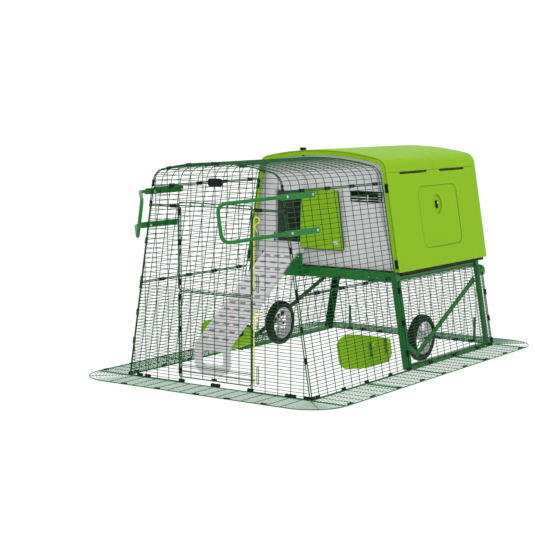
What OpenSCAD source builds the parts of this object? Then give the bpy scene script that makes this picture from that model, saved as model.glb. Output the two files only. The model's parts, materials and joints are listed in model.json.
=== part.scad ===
// Chicken coop with an attached wire run: a raised plastic house on a steel stand,
// a mesh run in front of and under it, wheels on lift levers, and a ground skirt.
// Millimetres. +Z up, +Y towards the rear of the house, the run door faces -Y.
// The origin is on the ground, at the middle of the whole footprint.

/* [Run] */
// Half the width of the run at the ground
run_half_w = 565; // [520:5:620]
// Length of the run in front of the house
run_len = 932; // [850:1:980]
// Lean of the side walls from upright, in degrees
run_lean = 9.53; // [7:0.01:10.5]
// Height of one side panel, measured up the leaning wall
panel_h = 500; // [480:5:510]
// Radius of the bend between the side walls and the roof of the run
run_shoulder_r = 85; // [70:5:95]
// Radius of the crowned roof of the run
run_crown_r = 1517; // [1400:1:1650]
// Height of the top of the run
run_peak_z = 1115; // [1108:1:1122]
// Diameter of the frame rods of every mesh panel
rod_d = 6; // [5:0.5:6.5]
// Diameter of the mesh wires
wire_d = 3; // [2.5:0.1:3.5]
// Spacing of the upright mesh wires
wire_pitch = 75; // [75:75:150]

/* [Doors of the run] */
// Half the width of the two run doors
door_half_w = 228; // [215:1:235]
// Height of the bottom rod of the lower door
door_z0 = 31; // [25:1:40]
// Height of the top rod of the upper door
door_z1 = 918; // [905:1:925]
// Height of the seam between the two doors
door_seam_z = 471; // [450:1:490]
// Diameter of the latch rods
latch_d = 6; // [5:0.5:7]

/* [House] */
// Front of the house
house_y0 = 950; // [945:1:960]
// Rear of the house
house_y1 = 1972; // [1960:1:1990]
// Height of the bottom edge of the house sides
house_z0 = 515; // [513:1:520]
// Height of the seam under the roof
seam_z = 1040; // [1020:1:1045]
// Half the width of the house at its bottom edge
house_half_w = 498; // [490:1:505]
// Half the width of the house at the roof seam
seam_half_w = 412; // [405:1:420]
// Height of the ridge
ridge_z = 1155; // [1150:1:1160]
// Radius of the bend between roof and sides
roof_shoulder_r = 70; // [55:5:80]
// Radius of the crowned roof
roof_crown_r = 1686; // [1600:1:1800]
// Thickness of the plastic shells
shell_t = 4; // [3:0.5:5]
// Width of the rim round the front and the rear of the house
rim_w = 28; // [24:1:32]
// How far the front wall stands back behind the rim
wall_recess = 30; // [28:1:34]

/* [Pop hole] */
// Left edge of the pop hole
pop_x0 = -320; // [-330:1:-310]
// Right edge of the pop hole
pop_x1 = -134; // [-140:1:-132]
// Bottom of the pop hole
pop_z0 = 640; // [630:1:645]
// Top of the pop hole
pop_z1 = 924; // [900:1:928]
// Sideways place of the upright rod that the pop door turns on
pop_axis_x = -124; // [-126:1:-120]
// Depth place of the rod that the pop door turns on
pop_axis_y = 962; // [961:1:964]

/* [Egg door] */
// Front edge of the egg door
egg_y0 = 1258; // [1250:1:1285]
// Rear edge of the egg door
egg_y1 = 1700; // [1680:1:1710]
// Lower edge of the egg door, up the leaning side from its bottom edge
egg_s0 = 104; // [95:1:110]
// Upper edge of the egg door, up the leaning side from its bottom edge
egg_s1 = 445; // [435:1:450]
// Corner radius of the egg door
egg_r = 55; // [35:5:60]

/* [Stand and wheels] */
// Height of the top of the stand
stand_z = 513; // [508:1:513]
// Width of the angle section of the legs
leg_w = 35; // [30:1:40]
// Rear face of the rear legs
stand_y1 = 1903; // [1895:1:1925]
// Radius of the tyres
tyre_r = 128; // [120:1:133]
// Width of the tyres
tyre_w = 48; // [36:1:52]
// Distance of the wheels from the middle
wheel_x = 470; // [465:1:480]
// Distance back to the wheel axles
axle_y = 1245; // [1240:1:1250]
// Height of the lever pivots
pivot_z = 148; // [140:1:152]
// Distance back to the lever pivots
pivot_y = 970; // [968:1:972]

/* [Skirt] */
// Width of the flat mesh skirt on the ground
skirt_w = 204; // [180:1:220]
// Corner radius of the skirt
skirt_r = 200; // [150:5:200]

/* [Ladder] */
// Width of the ladder
ladder_w = 214; // [200:1:220]
// Rows of grip slots
ladder_rows = 13; // [10:1:14]

/* [Hidden] */
$fn = 32;

gap = 0.4;          // running gap between neighbours
pin_play = 0.05;    // radial play of a pin in its bore
big = 3000;
steel_green = "#1e6a2d";
leaf_green = "#8dbe2d";
pale_grey = "#dedade";
near_black = "#1b2a2a";

// The run wall: a line leaning inwards, and the roof arch on top of it.
lean_sin = sin(run_lean);
lean_cos = cos(run_lean);
crown_z0 = run_peak_z - run_crown_r;
function wall_x(z) = run_half_w - z * tan(run_lean);
// Distance up the wall at which the shoulder starts, from the tangency of the two arcs
sh_a = run_half_w - run_shoulder_r * lean_cos;
sh_b = -run_shoulder_r * lean_sin - crown_z0;
sh_p = sh_b * lean_cos - sh_a * lean_sin;
sh_q = sh_a * sh_a + sh_b * sh_b - pow(run_crown_r - run_shoulder_r, 2);
sh_s = -sh_p + sqrt(sh_p * sh_p - sh_q);
shoulder_x = sh_a - sh_s * lean_sin;
shoulder_z = sh_s * lean_cos - run_shoulder_r * lean_sin;
crown_half = atan2(shoulder_x, shoulder_z - crown_z0);

// The house wall and roof, in the same way
house_lean = atan2(house_half_w - seam_half_w, seam_z - house_z0);
roof_z0 = ridge_z - roof_crown_r;
ho_a = house_half_w - roof_shoulder_r * cos(house_lean);
ho_b = house_z0 - roof_shoulder_r * sin(house_lean) - roof_z0;
ho_p = ho_b * cos(house_lean) - ho_a * sin(house_lean);
ho_q = ho_a * ho_a + ho_b * ho_b - pow(roof_crown_r - roof_shoulder_r, 2);
ho_s = -ho_p + sqrt(ho_p * ho_p - ho_q);
house_sh_x = ho_a - ho_s * sin(house_lean);
house_sh_z = house_z0 + ho_s * cos(house_lean) - roof_shoulder_r * sin(house_lean);
house_crown_half = atan2(house_sh_x, house_sh_z - roof_z0);
side_s = (seam_z - house_z0) / cos(house_lean);
wall_y = house_y0 + wall_recess;
function house_x(z) = house_half_w - (z - house_z0) * tan(house_lean);

lever_in = 22;           // the levers run this far inside the mesh wall
side_offset = 4;         // the legs stand this far inside the mesh wall
skirt_y0 = -8;
rear_panel_y = stand_y1 + 35;
skirt_y1 = rear_panel_y + 8;
skirt_out_x = run_half_w + 8 + skirt_w - 10;
skirt_out_y0 = skirt_y0 - skirt_w;
skirt_out_y1 = skirt_y1 + skirt_w - 4;
handle_reach = 295.5;
// The middle of the footprint, from the front of the handles to the rear of the skirt
origin_y = (skirt_out_y1 + rod_d / 2 - handle_reach) / 2;

module place() {
    translate([0, -origin_y, 0]) children();
}

// A round rod from p to q
module rod(p, q, d) {
    v = q - p;
    translate(p)
        rotate([0, acos(v[2] / norm(v)), atan2(v[1], v[0])])
            cylinder(h = norm(v), d = d);
}

// A mesh wire from p to q, drawn square so that crossings stay plain
module wire(p, q, d) {
    v = q - p;
    translate(p)
        rotate([0, acos(v[2] / norm(v)), atan2(v[1], v[0])])
            translate([-d / 2, -d / 2, 0]) cube([d, d, norm(v)]);
}

// A flat band along an arc of radius r, from angle a0 to angle a1
module arc_band(r, d, a0, a1) {
    far = 2 * r;
    mid = (a0 + a1) / 2;
    intersection() {
        difference() {
            circle(r + d / 2, $fn = 360);
            circle(r - d / 2, $fn = 360);
        }
        polygon([[0, 0], far * [cos(a0), sin(a0)], far * [cos(mid), sin(mid)], far * [cos(a1), sin(a1)]]);
    }
}

// Children drawn against the leaning run wall: X outwards, Y along, Z up the wall
module on_wall(side) {
    mirror([side < 0 ? 1 : 0, 0, 0])
        translate([run_half_w, 0, 0]) rotate([0, -run_lean, 0]) children();
}

// Children drawn against the leaning house side, in the same way
module on_side(side) {
    mirror([side < 0 ? 1 : 0, 0, 0])
        translate([house_half_w, 0, house_z0]) rotate([0, -house_lean, 0]) children();
}

module mirrored(side) {
    mirror([side < 0 ? 1 : 0, 0, 0]) children();
}

// A flat mesh panel in the YZ plane, from [y0, z0] to [y1, z1] on the rod centres
module mesh_yz(y0, y1, z0, z1, uprights, levels) {
    rod([0, y0 - rod_d / 2, z0], [0, y1 + rod_d / 2, z0], rod_d);
    rod([0, y0 - rod_d / 2, z1], [0, y1 + rod_d / 2, z1], rod_d);
    rod([0, y0, z0], [0, y0, z1], rod_d - 1);
    rod([0, y1, z0], [0, y1, z1], rod_d - 1);
    for (y = uprights) wire([0, y, z0], [0, y, z1], wire_d);
    for (z = levels) wire([0, y0, z], [0, y1, z], wire_d - 0.6);
}

// A rounded rectangle from [x0, y0] to [x1, y1], with true arcs
module round_rect(x0, x1, y0, y1, r) {
    translate([x0 + r, y0]) square([x1 - x0 - 2 * r, y1 - y0]);
    translate([x0, y0 + r]) square([x1 - x0, y1 - y0 - 2 * r]);
    for (x = [x0 + r, x1 - r]) for (y = [y0 + r, y1 - r]) translate([x, y]) circle(r, $fn = 48);
}

// A 2D section drawn in XZ, stretched along Y from y0 to y1
module along_y(y0, y1) {
    translate([0, y1, 0]) rotate([90, 0, 0]) linear_extrude(y1 - y0) children();
}

// A 2D section drawn in YZ, stretched along X from x0 to x1
module along_x(x0, x1) {
    translate([x0, 0, 0]) rotate([90, 0, 90]) linear_extrude(x1 - x0) children();
}

// The outline of the house in XZ, moved inwards by inset and cut off below z_low
module house_outline(inset, z_low) {
    r = roof_shoulder_r - inset;
    side_x = house_sh_x + r * cos(house_lean);
    side_z = house_sh_z + r * sin(house_lean);
    low_x = house_x(z_low) - inset / cos(house_lean);
    top_x = house_sh_x + r * sin(house_crown_half);
    top_z = house_sh_z + r * cos(house_crown_half);
    polygon([[-low_x, z_low], [low_x, z_low], [side_x, side_z], [top_x, top_z],
             [-top_x, top_z], [-side_x, side_z]]);
    intersection() {
        for (s = [-1, 1]) translate([s * house_sh_x, house_sh_z]) circle(r, $fn = 96);
        translate([-big / 2, z_low]) square([big, big]);
    }
    intersection() {
        translate([0, roof_z0]) circle(roof_crown_r - inset, $fn = 720);
        translate([-top_x, top_z - 1]) square([2 * top_x, 100]);
    }
}

/* ---------- stand ---------- */

module leg(side, y_wall, y_flange) {
    intersection() {
        on_wall(side) {
            translate([-side_offset - 3, y_wall, -10]) cube([3, leg_w, 550]);
            translate([-side_offset - leg_w, y_flange, -10]) cube([leg_w, 3, 550]);
        }
        translate([-big / 2, 0, 0]) cube([big, big, stand_z]);
    }
}

// The front legs hold the pivots of the wheel levers
module leg_front(side) {
    color(steel_green) place() difference() {
        leg(side, house_y0, house_y0);
        on_wall(side) translate([-20, pivot_y, on_slant(pivot_z)]) rotate([0, 90, 0])
            cylinder(h = 30, r = 6 + pin_play);
    }
}

// The rear legs carry a lug with an eye that stands out behind the stand
module leg_rear(side) {
    lug_s = 443;
    lug_r = 28;
    color(steel_green) place() difference() {
        union() {
            leg(side, stand_y1 - leg_w, stand_y1 - 3);
            on_wall(side) {
                translate([-side_offset - 3, stand_y1 - 5, lug_s - lug_r]) cube([3, 47, 2 * lug_r]);
                translate([-side_offset - 3, stand_y1 + 42, lug_s]) rotate([0, 90, 0])
                    cylinder(h = 3, r = lug_r);
            }
        }
        on_wall(side) translate([-20, stand_y1 + 32, lug_s]) rotate([0, 90, 0]) cylinder(h = 30, r = 8);
    }
}

module top_rails() {
    color(steel_green) place() for (s = [-1, 1]) mirrored(s)
        translate([450, house_y0 + 34, 468]) difference() {
            cube([22, stand_y1 - house_y0 - 68, 22]);
            translate([2, -1, 2]) cube([18, big, 18]);
        }
}

module beam(y0) {
    difference() {
        translate([-468, y0, 459]) cube([936, 30, stand_z - 459]);
        translate([-big / 2, y0 + 2.5, 461.5]) cube([big, 25, stand_z - 464]);
    }
}

module front_beam() {
    color(steel_green) place() beam(house_y0 + 3.4);
}

module rear_beam() {
    r = 35;
    y_end = stand_y1 + 70;
    color(steel_green) place() {
        beam(stand_y1 - 33.4);
        for (s = [-1, 1]) mirrored(s) {
            rod([430, stand_y1 - 4, 490], [430, y_end - r, 490], 20);
            translate([430 - r, y_end - r, 490]) rotate_extrude(angle = 90) translate([r, 0]) circle(10);
        }
        rod([-430 + r, y_end, 490], [430 - r, y_end, 490], 20);
    }
}

// The rails on the ground and a peg behind each
module ground_rails() {
    color(steel_green) place() for (s = [-1, 1]) mirrored(s) {
        translate([531, house_y0 + 34, 0]) cube([20, stand_y1 - house_y0 - 68, 20]);
        translate([432, rear_panel_y + 22, 0]) {
            cylinder(h = 150, d = 14);
            cylinder(h = 4, d = 17);
        }
    }
}

/* ---------- ladder ---------- */

ladder_top = [0, 898, 588];
ladder_foot = [0, 256, 150];
ladder_x = -209;
ladder_pitch = atan2(ladder_top[2] - ladder_foot[2], ladder_top[1] - ladder_foot[1]);
ladder_len = norm(ladder_top - ladder_foot);
ladder_t = 22;
pin_l = 745;             // the hanging pins, up the ladder and above its underside
pin_h = 5;
ladder_pin = [0, ladder_foot[1] + pin_l * cos(ladder_pitch) - pin_h * sin(ladder_pitch),
              ladder_foot[2] + pin_l * sin(ladder_pitch) + pin_h * cos(ladder_pitch)];
function ladder_z(y) = ladder_foot[2] + (y - ladder_foot[1]) * tan(ladder_pitch);

module ladder_bracket() {
    plate_x = ladder_w / 2 + 5;
    beam_face = house_y0 + 3;
    post_y = 882;
    color(steel_green) place() translate([ladder_x, 0, 0]) for (s = [-1, 1]) mirrored(s) {
        difference() {
            translate([plate_x, 0, 0]) rotate([90, 0, 90]) linear_extrude(4)
                polygon([[741, 484], [741, ladder_z(741) + 15], [post_y, ladder_z(post_y) + 15],
                         [post_y, 509], [beam_face, 509], [beam_face, 466], [post_y, 466]]);
            translate([0, ladder_pin[1], ladder_pin[2]]) rotate([0, 90, 0])
                cylinder(h = 300, r = 4 + pin_play);
        }
        translate([plate_x, post_y - 0.1, 466]) cube([22, 4, ladder_z(post_y) + 15 - 466]);
        translate([plate_x, beam_face - 3, 466]) cube([24, 3, 43]);
    }
}

// The foot of the ladder: an upright loop with round lower corners
module ladder_foot_loop() {
    w = 113;
    difference() {
        union() {
            round_rect(-w, w, 6, 130, 60);
            translate([-w, 66]) square([2 * w, 92]);
        }
        round_rect(-73, 73, 50, 128, 24);
    }
}

module ladder() {
    row_pitch = 56.7;
    slot = [40, 16];
    color("#cdc8cd") place() translate([ladder_x, 0, 0]) {
        translate([-ladder_w / 2, ladder_foot[1], ladder_foot[2]]) rotate([ladder_pitch, 0, 0])
            difference() {
                cube([ladder_w, ladder_len, ladder_t]);
                for (row = [0 : ladder_rows - 1]) for (col = [-1 : 1])
                    translate([ladder_w / 2 + col * 66 - slot[0] / 2 + (row % 2) * 6 - 3,
                               32 + row * row_pitch, -1]) cube([slot[0], slot[1], ladder_t + 2]);
                translate([8, 12, -1]) cube([ladder_w - 16, ladder_len - 60, 5]);
            }
        along_y(241, 257) ladder_foot_loop();
        for (s = [-1, 1]) mirrored(s) translate([ladder_w / 2 - 1, ladder_pin[1], ladder_pin[2]])
            rotate([0, 90, 0]) cylinder(h = 13, r = 4);
    }
}

/* ---------- house ---------- */

module house_floor() {
    rim_x = house_half_w - shell_t - 3;
    color("#59635b") place() difference() {
        union() {
            translate([-446, house_y0 + 36, 492]) cube([892, stand_y1 - house_y0 - 72, 24]);
            translate([-rim_x, house_y0 + 6, stand_z + gap]) cube([2 * rim_x, house_y1 - house_y0 - 12, 5]);
        }
        translate([-440, house_y0 + 42, 496]) cube([880, stand_y1 - house_y0 - 84, 50]);
    }
}

floor_top = stand_z + gap + 5;

module front_wall() {
    edge = shell_t + 1;
    color(pale_grey) place() difference() {
        union() {
            along_y(wall_y, wall_y + 22) house_outline(edge, floor_top + gap);
            translate([pop_axis_x - 12, pop_axis_y - 12, 590]) cube([24, wall_y - pop_axis_y + 13, 14]);
        }
        translate([pop_axis_x, pop_axis_y, 580]) cylinder(h = 40, r = 5 + pin_play);
        along_y(wall_y + 4, wall_y + 30) difference() {
            house_outline(edge + 4, floor_top + 5);
            round_rect(pop_x0 - 6, pop_x1 + 6, pop_z0 - 6, pop_z1 + 6, 14);
            round_rect(166, 378, 872, 944, 10);
        }
        along_y(wall_y - 1, wall_y + 30) round_rect(pop_x0, pop_x1, pop_z0, pop_z1, 8);
        along_y(wall_y - 1, wall_y + 30) round_rect(172, 372, 878, 938, 4);
    }
}

module vent_grille() {
    color(near_black) place() difference() {
        along_y(wall_y - 3, wall_y + 16) round_rect(173, 371, 879, 937, 3);
        for (i = [0 : 3])
            translate([179, wall_y - 5, 884 + i * 13]) cube([186, 30, 8]);
    }
}

module rear_wall() {
    edge = shell_t + 1;
    y0 = house_y1 - 34;
    color(leaf_green) place() difference() {
        along_y(y0, y0 + 22) house_outline(edge, floor_top + gap);
        along_y(y0 - 8, y0 + 18) difference() {
            house_outline(edge + 4, floor_top + 5);
            round_rect(-306, 306, 594, 1006, 46);
            translate([-452, floor_top]) square([904, 70]);
        }
        along_y(y0 - 1, y0 + 30) round_rect(-300, 300, 600, 1000, 40);
        for (s = [-1, 1]) mirrored(s)
            translate([5, y0 - 1, floor_top + 1.5]) cube([436, 30, 60]);
    }
}

module side_shell(side) {
    vent_y = [[1087, 1379], [1533, 1824]];
    color(leaf_green) place() on_side(side) difference() {
        translate([-rim_w, house_y0, 0]) cube([rim_w, house_y1 - house_y0, side_s]);
        translate([-rim_w - 1, house_y0 + shell_t, -1])
            cube([rim_w + 1 - shell_t, house_y1 - house_y0 - 2 * shell_t, side_s + 2]);
        translate([-rim_w - 1, house_y0 - 1, -1])
            cube([rim_w + 1 - shell_t, house_y1 - house_y0 + 2, 6.5]);
        for (v = vent_y) translate([-shell_t - 1, v[0], side_s - 12])
            cube([shell_t + 2, v[1] - v[0], 20]);
        along_x(-big / 10, 10) round_rect(egg_y0, egg_y1, egg_s0, egg_s1, egg_r);
    }
}

module side_liners() {
    color(pale_grey) place() for (s = [-1, 1]) on_side(s) difference() {
        translate([-22, house_y0 + 58, 9]) cube([3, house_y1 - house_y0 - 116, side_s - 27]);
        if (s > 0) along_x(-30, 10) round_rect(egg_y0 + 8, egg_y1 - 8, egg_s0 + 8, egg_s1 - 8, egg_r - 8);
    }
}

knob_bore_r = 6.5 + pin_play;

module roof_lid() {
    z_low = seam_z + 1.5;
    color(leaf_green) place() difference() {
        along_y(house_y0, house_y1) house_outline(0, z_low);
        along_y(house_y0 + shell_t, house_y1 - shell_t) house_outline(shell_t, z_low - 1);
        along_y(house_y0 - 1, house_y1 + 1) house_outline(rim_w, z_low - 1);
        translate([pop_axis_x, pop_axis_y, 1000]) cylinder(h = 300, r = knob_bore_r);
    }
    color(leaf_green) place() for (y = [1462]) along_y(y, y + 6) difference() {
        house_outline(shell_t - 0.5, z_low + 2);
        house_outline(shell_t + 14, z_low - 1);
    }
    color(leaf_green) place() translate([pop_axis_x, pop_axis_y + 2, ridge_z - 20]) difference() {
        translate([-14, -9, -10]) cube([28, 22, 26]);
        translate([0, -2, -20]) cylinder(h = 60, r = knob_bore_r);
    }
}

module roof_knob() {
    z0 = ridge_z - 3;
    color(near_black) place() translate([pop_axis_x, pop_axis_y, z0]) difference() {
        union() {
            cylinder(h = 6, d = 36);
            translate([-17, -5, 0]) cube([34, 10, 13]);
            translate([0, 0, -36]) cylinder(h = 37, d = 13);
        }
        translate([-4.2, -4.2, -40]) cube([8.4, 8.4, 34]);
    }
}

pop_rod_top = ridge_z - 14;

module pop_rod() {
    color(pale_grey) place() translate([pop_axis_x, pop_axis_y, 0]) {
        translate([0, 0, 592]) cylinder(h = pop_rod_top - 40 - 592, d = 10);
        translate([-4, -4, pop_rod_top - 41]) cube([8, 8, 41]);
    }
}

module pop_door() {
    color(leaf_green) place() difference() {
        union() {
            along_y(pop_axis_y - 6, pop_axis_y + 6) difference() {
                polygon([[pop_axis_x - 9, 936], [101, 936], [142, 614], [pop_axis_x - 14, 614]]);
                translate([142, 614]) rotate(45) square([30, 20], center = true);
            }
            translate([pop_axis_x, pop_axis_y, 614]) cylinder(h = 322, d = 18);
        }
        translate([pop_axis_x, pop_axis_y, 600]) cylinder(h = 400, d = 10);
    }
}

knob_pocket_w = 105;

// A door with an oval pocket for its twist knob, centred knob_c along the door
module door_leaf(w0, w1, h0, h1, r, knob_c, knob_h0, knob_h1) {
    difference() {
        along_x(-16, -2) round_rect(w0, w1, h0, h1, r);
        along_x(-12, 0) round_rect(knob_c - knob_pocket_w / 2, knob_c + knob_pocket_w / 2,
                                   knob_h0, knob_h1, knob_pocket_w / 2 - 0.01);
        translate([-30, knob_c, (knob_h0 + knob_h1) / 2]) rotate([0, 90, 0])
            cylinder(h = 30, r = 6 + pin_play);
    }
}

egg_knob_s0 = 282;
egg_knob_s1 = 394;
egg_knob_y = 1464;

module egg_door() {
    color(leaf_green) place() on_side(1)
        door_leaf(egg_y0 + 1.5, egg_y1 - 1.5, egg_s0 + 1.5, egg_s1 - 1.5, egg_r - 1.5,
                  egg_knob_y, egg_knob_s0, egg_knob_s1);
}

// A twist knob on its spindle, seen along X, with a locking tongue behind the door
module twist_knob() {
    rotate([0, 90, 0]) translate([0, 0, -17]) cylinder(h = 14, r = 6);
    translate([-11.5, -8, -21]) cube([9, 16, 42]);
    translate([-19, -10, -8]) cube([2.5, 20, 40]);
}

module egg_knob() {
    color(near_black) place() on_side(1)
        translate([0, egg_knob_y, (egg_knob_s0 + egg_knob_s1) / 2]) twist_knob();
}

rear_door_z0 = 600;
rear_door_z1 = 1000;

// The rear door lies in the rear wall, its outside facing +Y
module on_rear() {
    translate([0, house_y1 - 10, 0]) rotate([0, 0, 90]) children();
}

module rear_door() {
    color(leaf_green) place() on_rear()
        door_leaf(-298.5, 298.5, rear_door_z0 + 1.5, rear_door_z1 - 1.5, 38.5, 0, 756, 868);
}

module rear_knob() {
    color(near_black) place() on_rear() translate([0, 0, 812]) twist_knob();
}

module roosting_bars() {
    color("#5f6a60") place() {
        for (x = [-410 : 110 : 140]) translate([x, 1020, 589]) cube([42, 890, 18]);
        for (y = [1030, 1300, 1640, 1880]) translate([-456, y, 578]) cube([912, 22, 12]);
    }
}

module nest_box() {
    color("#7a827c") place() translate([245, 1290, 590.4]) difference() {
        cube([190, 380, 90]);
        translate([4, 4, 4]) cube([182, 372, 100]);
        translate([-1, 60, 40]) cube([20, 260, 100]);
    }
}

module tray(side) {
    color("#6f7a72") place() mirrored(side) translate([8, house_y0 + 60, floor_top + 2.5]) {
        difference() {
            cube([428, house_y1 - house_y0 - 80, 55]);
            translate([3, 3, 3]) cube([422, house_y1 - house_y0 - 86, 60]);
        }
        translate([154, house_y1 - house_y0 - 80.5, 22]) difference() {
            cube([120, 18, 20]);
            translate([8, -1, 5]) cube([104, 11, 16]);
        }
    }
}

/* ---------- wheels and levers ---------- */

axle_z = tyre_r + 0.5;
tyre_wall = 37;
lever_low = [1088, 66];
lever_top = [1855, 392];
// Length up the slant of a point at height z in the plane of the levers
function on_slant(z) = (z + lever_in * lean_sin) / lean_cos;
function lever_x(z) = wall_x(z) - lever_in / lean_cos;

// A flat bar in the plane of the wall, from p to q in Y and height
module flat_bar(p, q, w) {
    d = [q[0] - p[0], on_slant(q[1]) - on_slant(p[1])];
    translate([-lever_in - 3, p[0], on_slant(p[1])]) rotate([atan2(d[1], d[0]), 0, 0])
        translate([0, 0, -w / 2]) cube([6, norm(d), w]);
}

// A bent flat bar: from its pivot down, then up past the axle to a hand plate
module wheel_lever(side) {
    plate = lever_top + (lever_low - lever_top) * 0.08;
    color(steel_green) place() difference() {
        union() {
            on_wall(side) {
                flat_bar([pivot_y, pivot_z], lever_low, 20);
                flat_bar(lever_low, lever_top, 26);
                flat_bar(plate, lever_top, 34);
                for (p = [[pivot_y, pivot_z, 14], [lever_low[0], lever_low[1], 16]])
                    translate([-lever_in - 3, p[0], on_slant(p[1])]) rotate([0, 90, 0])
                        cylinder(h = 6, r = p[2]);
                translate([-lever_in - 3, pivot_y, on_slant(pivot_z)]) rotate([0, 90, 0])
                    cylinder(h = 22, r = 6);
            }
            mirrored(side) {
                translate([lever_x(axle_z) - 7, axle_y, axle_z]) rotate([0, 90, 0]) cylinder(h = 12, r = 17);
                translate([wheel_x - tyre_w / 2 - 4, axle_y, axle_z]) rotate([0, 90, 0])
                    cylinder(h = lever_x(axle_z) - wheel_x + tyre_w / 2 + 4, r = 6);
            }
        }
        for (f = [0.02, 0.06]) on_wall(side)
            translate([-60, (lever_top + (lever_low - lever_top) * f)[0],
                       on_slant((lever_top + (lever_low - lever_top) * f)[1])])
                rotate([0, 90, 0]) cylinder(h = 60, r = 4.5);
    }
}

module tyre(side) {
    color("#202020") place() mirrored(side)
        translate([wheel_x, axle_y, axle_z]) rotate([0, 90, 0]) rotate_extrude($fn = 96) difference() {
            translate([tyre_r - tyre_wall, -tyre_w / 2]) square([tyre_wall, tyre_w]);
            for (v = [-1, 1]) translate([tyre_r, v * tyre_w / 2]) rotate(45) square(14, center = true);
        }
}

// A thin rim on eight narrow spokes
module hub(side) {
    rim_r = tyre_r - tyre_wall - 0.05;
    color("#b9bdb8") place() mirrored(side)
        translate([wheel_x, axle_y, axle_z]) rotate([0, 90, 0]) difference() {
            union() {
                difference() {
                    translate([0, 0, -19]) cylinder(h = 38, r = rim_r, $fn = 96);
                    translate([0, 0, -20]) cylinder(h = 40, r = rim_r - 4, $fn = 96);
                }
                translate([0, 0, -20]) cylinder(h = 40, r = 14);
                for (k = [0 : 7]) rotate(k * 45) translate([10, -2.5, -3]) cube([rim_r - 12, 5, 6]);
            }
            translate([0, 0, -30]) cylinder(h = 60, r = 6 + pin_play);
        }
}

/* ---------- run mesh ---------- */

run_posts = [for (y = [2 * wire_pitch : 2 * wire_pitch : run_len - 60]) y];

module side_panel(side, s0) {
    inset = rod_d / 2 + 0.75;
    color(steel_green) place() on_wall(side)
        mesh_yz(11, run_len - 4, s0 + inset, s0 + panel_h - inset, run_posts,
                [for (k = [1 : 4]) s0 + k * panel_h / 5 - 12.5]);
}

// The line of the run's roof in XZ as a band d wide, from s_from up one wall to the other
module hoop_outline(d, s_from) {
    for (s = [-1, 1]) mirrored(s) {
        translate([run_half_w, 0]) rotate(run_lean) translate([-d / 2, s_from])
            square([d, sh_s - s_from + 0.05]);
        translate([shoulder_x, shoulder_z]) arc_band(run_shoulder_r, d, run_lean - 0.05, 90 - crown_half + 0.05);
    }
    translate([0, crown_z0]) arc_band(run_crown_r, d, 90 - crown_half, 90 + crown_half);
}

module roof_hoop(d, s_from) {
    along_y(-d / 2, d / 2) hoop_outline(d, s_from);
}

// A point of the roof hoop's centre line, at an angle on the shoulder or on the crown
function shoulder_point(a) = [shoulder_x + run_shoulder_r * cos(a), shoulder_z + run_shoulder_r * sin(a)];
function crown_point(a) = [run_crown_r * sin(a), crown_z0 + run_crown_r * cos(a)];

module run_roof() {
    s0 = 2 * panel_h + rod_d / 2 + 0.75;
    y0 = 11;
    y1 = run_len - 4;
    long_points = concat([for (k = [-2 : 2]) crown_point(k * crown_half / 2.4)],
                         [for (s = [-1, 1]) [s * shoulder_point(45)[0], shoulder_point(45)[1]]]);
    color(steel_green) place() {
        for (y = concat([y0, y1], run_posts))
            translate([0, y, 0]) roof_hoop(y == y0 || y == y1 ? rod_d - 1 : wire_d, s0);
        for (s = [-1, 1]) rod([s * (run_half_w - s0 * lean_sin), y0 - 3, s0 * lean_cos],
                              [s * (run_half_w - s0 * lean_sin), y1 + 3, s0 * lean_cos], rod_d);
        for (p = long_points) wire([p[0], y0, p[1]], [p[0], y1, p[1]], wire_d - 0.6);
    }
}

front_z = 895;
front_in_x = door_half_w - 12;

module front_panels() {
    z0 = 5;
    z1 = front_z - 3.5;
    cut = 4;
    color(steel_green) place() for (s = [-1, 1]) mirrored(s) {
        rod([front_in_x - 3, 0, z0], [wall_x(z0) - cut + 3, 0, z0], rod_d);
        rod([front_in_x - 3, 0, z1], [wall_x(z1) - cut + 3, 0, z1], rod_d);
        rod([front_in_x, 0, z0], [front_in_x, 0, z1], rod_d - 1);
        rod([wall_x(z0) - cut, 0, z0], [wall_x(z1) - cut, 0, z1], rod_d - 1);
        for (x = [300 : wire_pitch : 500]) {
            z_end = min(z1, (run_half_w - cut - x) / tan(run_lean));
            wire([x, 0, z0], [x, 0, z_end], wire_d);
        }
        for (z = [100 : 100 : 800]) wire([front_in_x, 0, z], [wall_x(z) - cut, 0, z], wire_d - 0.6);
    }
}

module front_arch() {
    z0 = front_z + 3.5;
    s0 = z0 / lean_cos;
    color(steel_green) place() {
        roof_hoop(rod_d - 1, s0);
        rod([-wall_x(z0) - 3, 0, z0], [wall_x(z0) + 3, 0, z0], rod_d);
        for (k = [-4 : 4]) {
            x = k * wire_pitch;
            wire([x, 0, z0], [x, 0, crown_z0 + sqrt(run_crown_r * run_crown_r - x * x)], wire_d);
        }
        for (z = [950, 1000])
            wire([-wall_x(z) + 2, 0, z], [wall_x(z) - 2, 0, z], wire_d - 0.6);
    }
}

door_y = -9;
latch_x = door_half_w + 12;

// A run door: rods all round, hinge eyes on the left and guide eyes for its latch on the right
module run_door(z0, z1) {
    w = door_half_w - 3;
    difference() {
        union() {
            rod([-w - 3, door_y, z0], [w + 3, door_y, z0], rod_d);
            rod([-w - 3, door_y, z1], [w + 3, door_y, z1], rod_d);
            rod([-w, door_y, z0], [-w, door_y, z1], rod_d - 1);
            rod([w, door_y, z0], [w, door_y, z1], rod_d - 1);
            for (x = [-150 : wire_pitch : 150]) wire([x, door_y, z0], [x, door_y, z1], wire_d);
            for (k = [1 : 3]) wire([-w, door_y, z0 + k * (z1 - z0) / 4],
                                  [w, door_y, z0 + k * (z1 - z0) / 4], wire_d - 0.6);
            for (z = [z0 + 25, (z0 + z1) / 2 + 20])
                translate([latch_x - 14, door_y - 5, z]) cube([20, 10, 12]);
        }
        translate([latch_x, door_y, z0 - 10]) cylinder(h = z1 - z0 + 20, r = latch_d / 2 + pin_play);
    }
}

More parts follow.
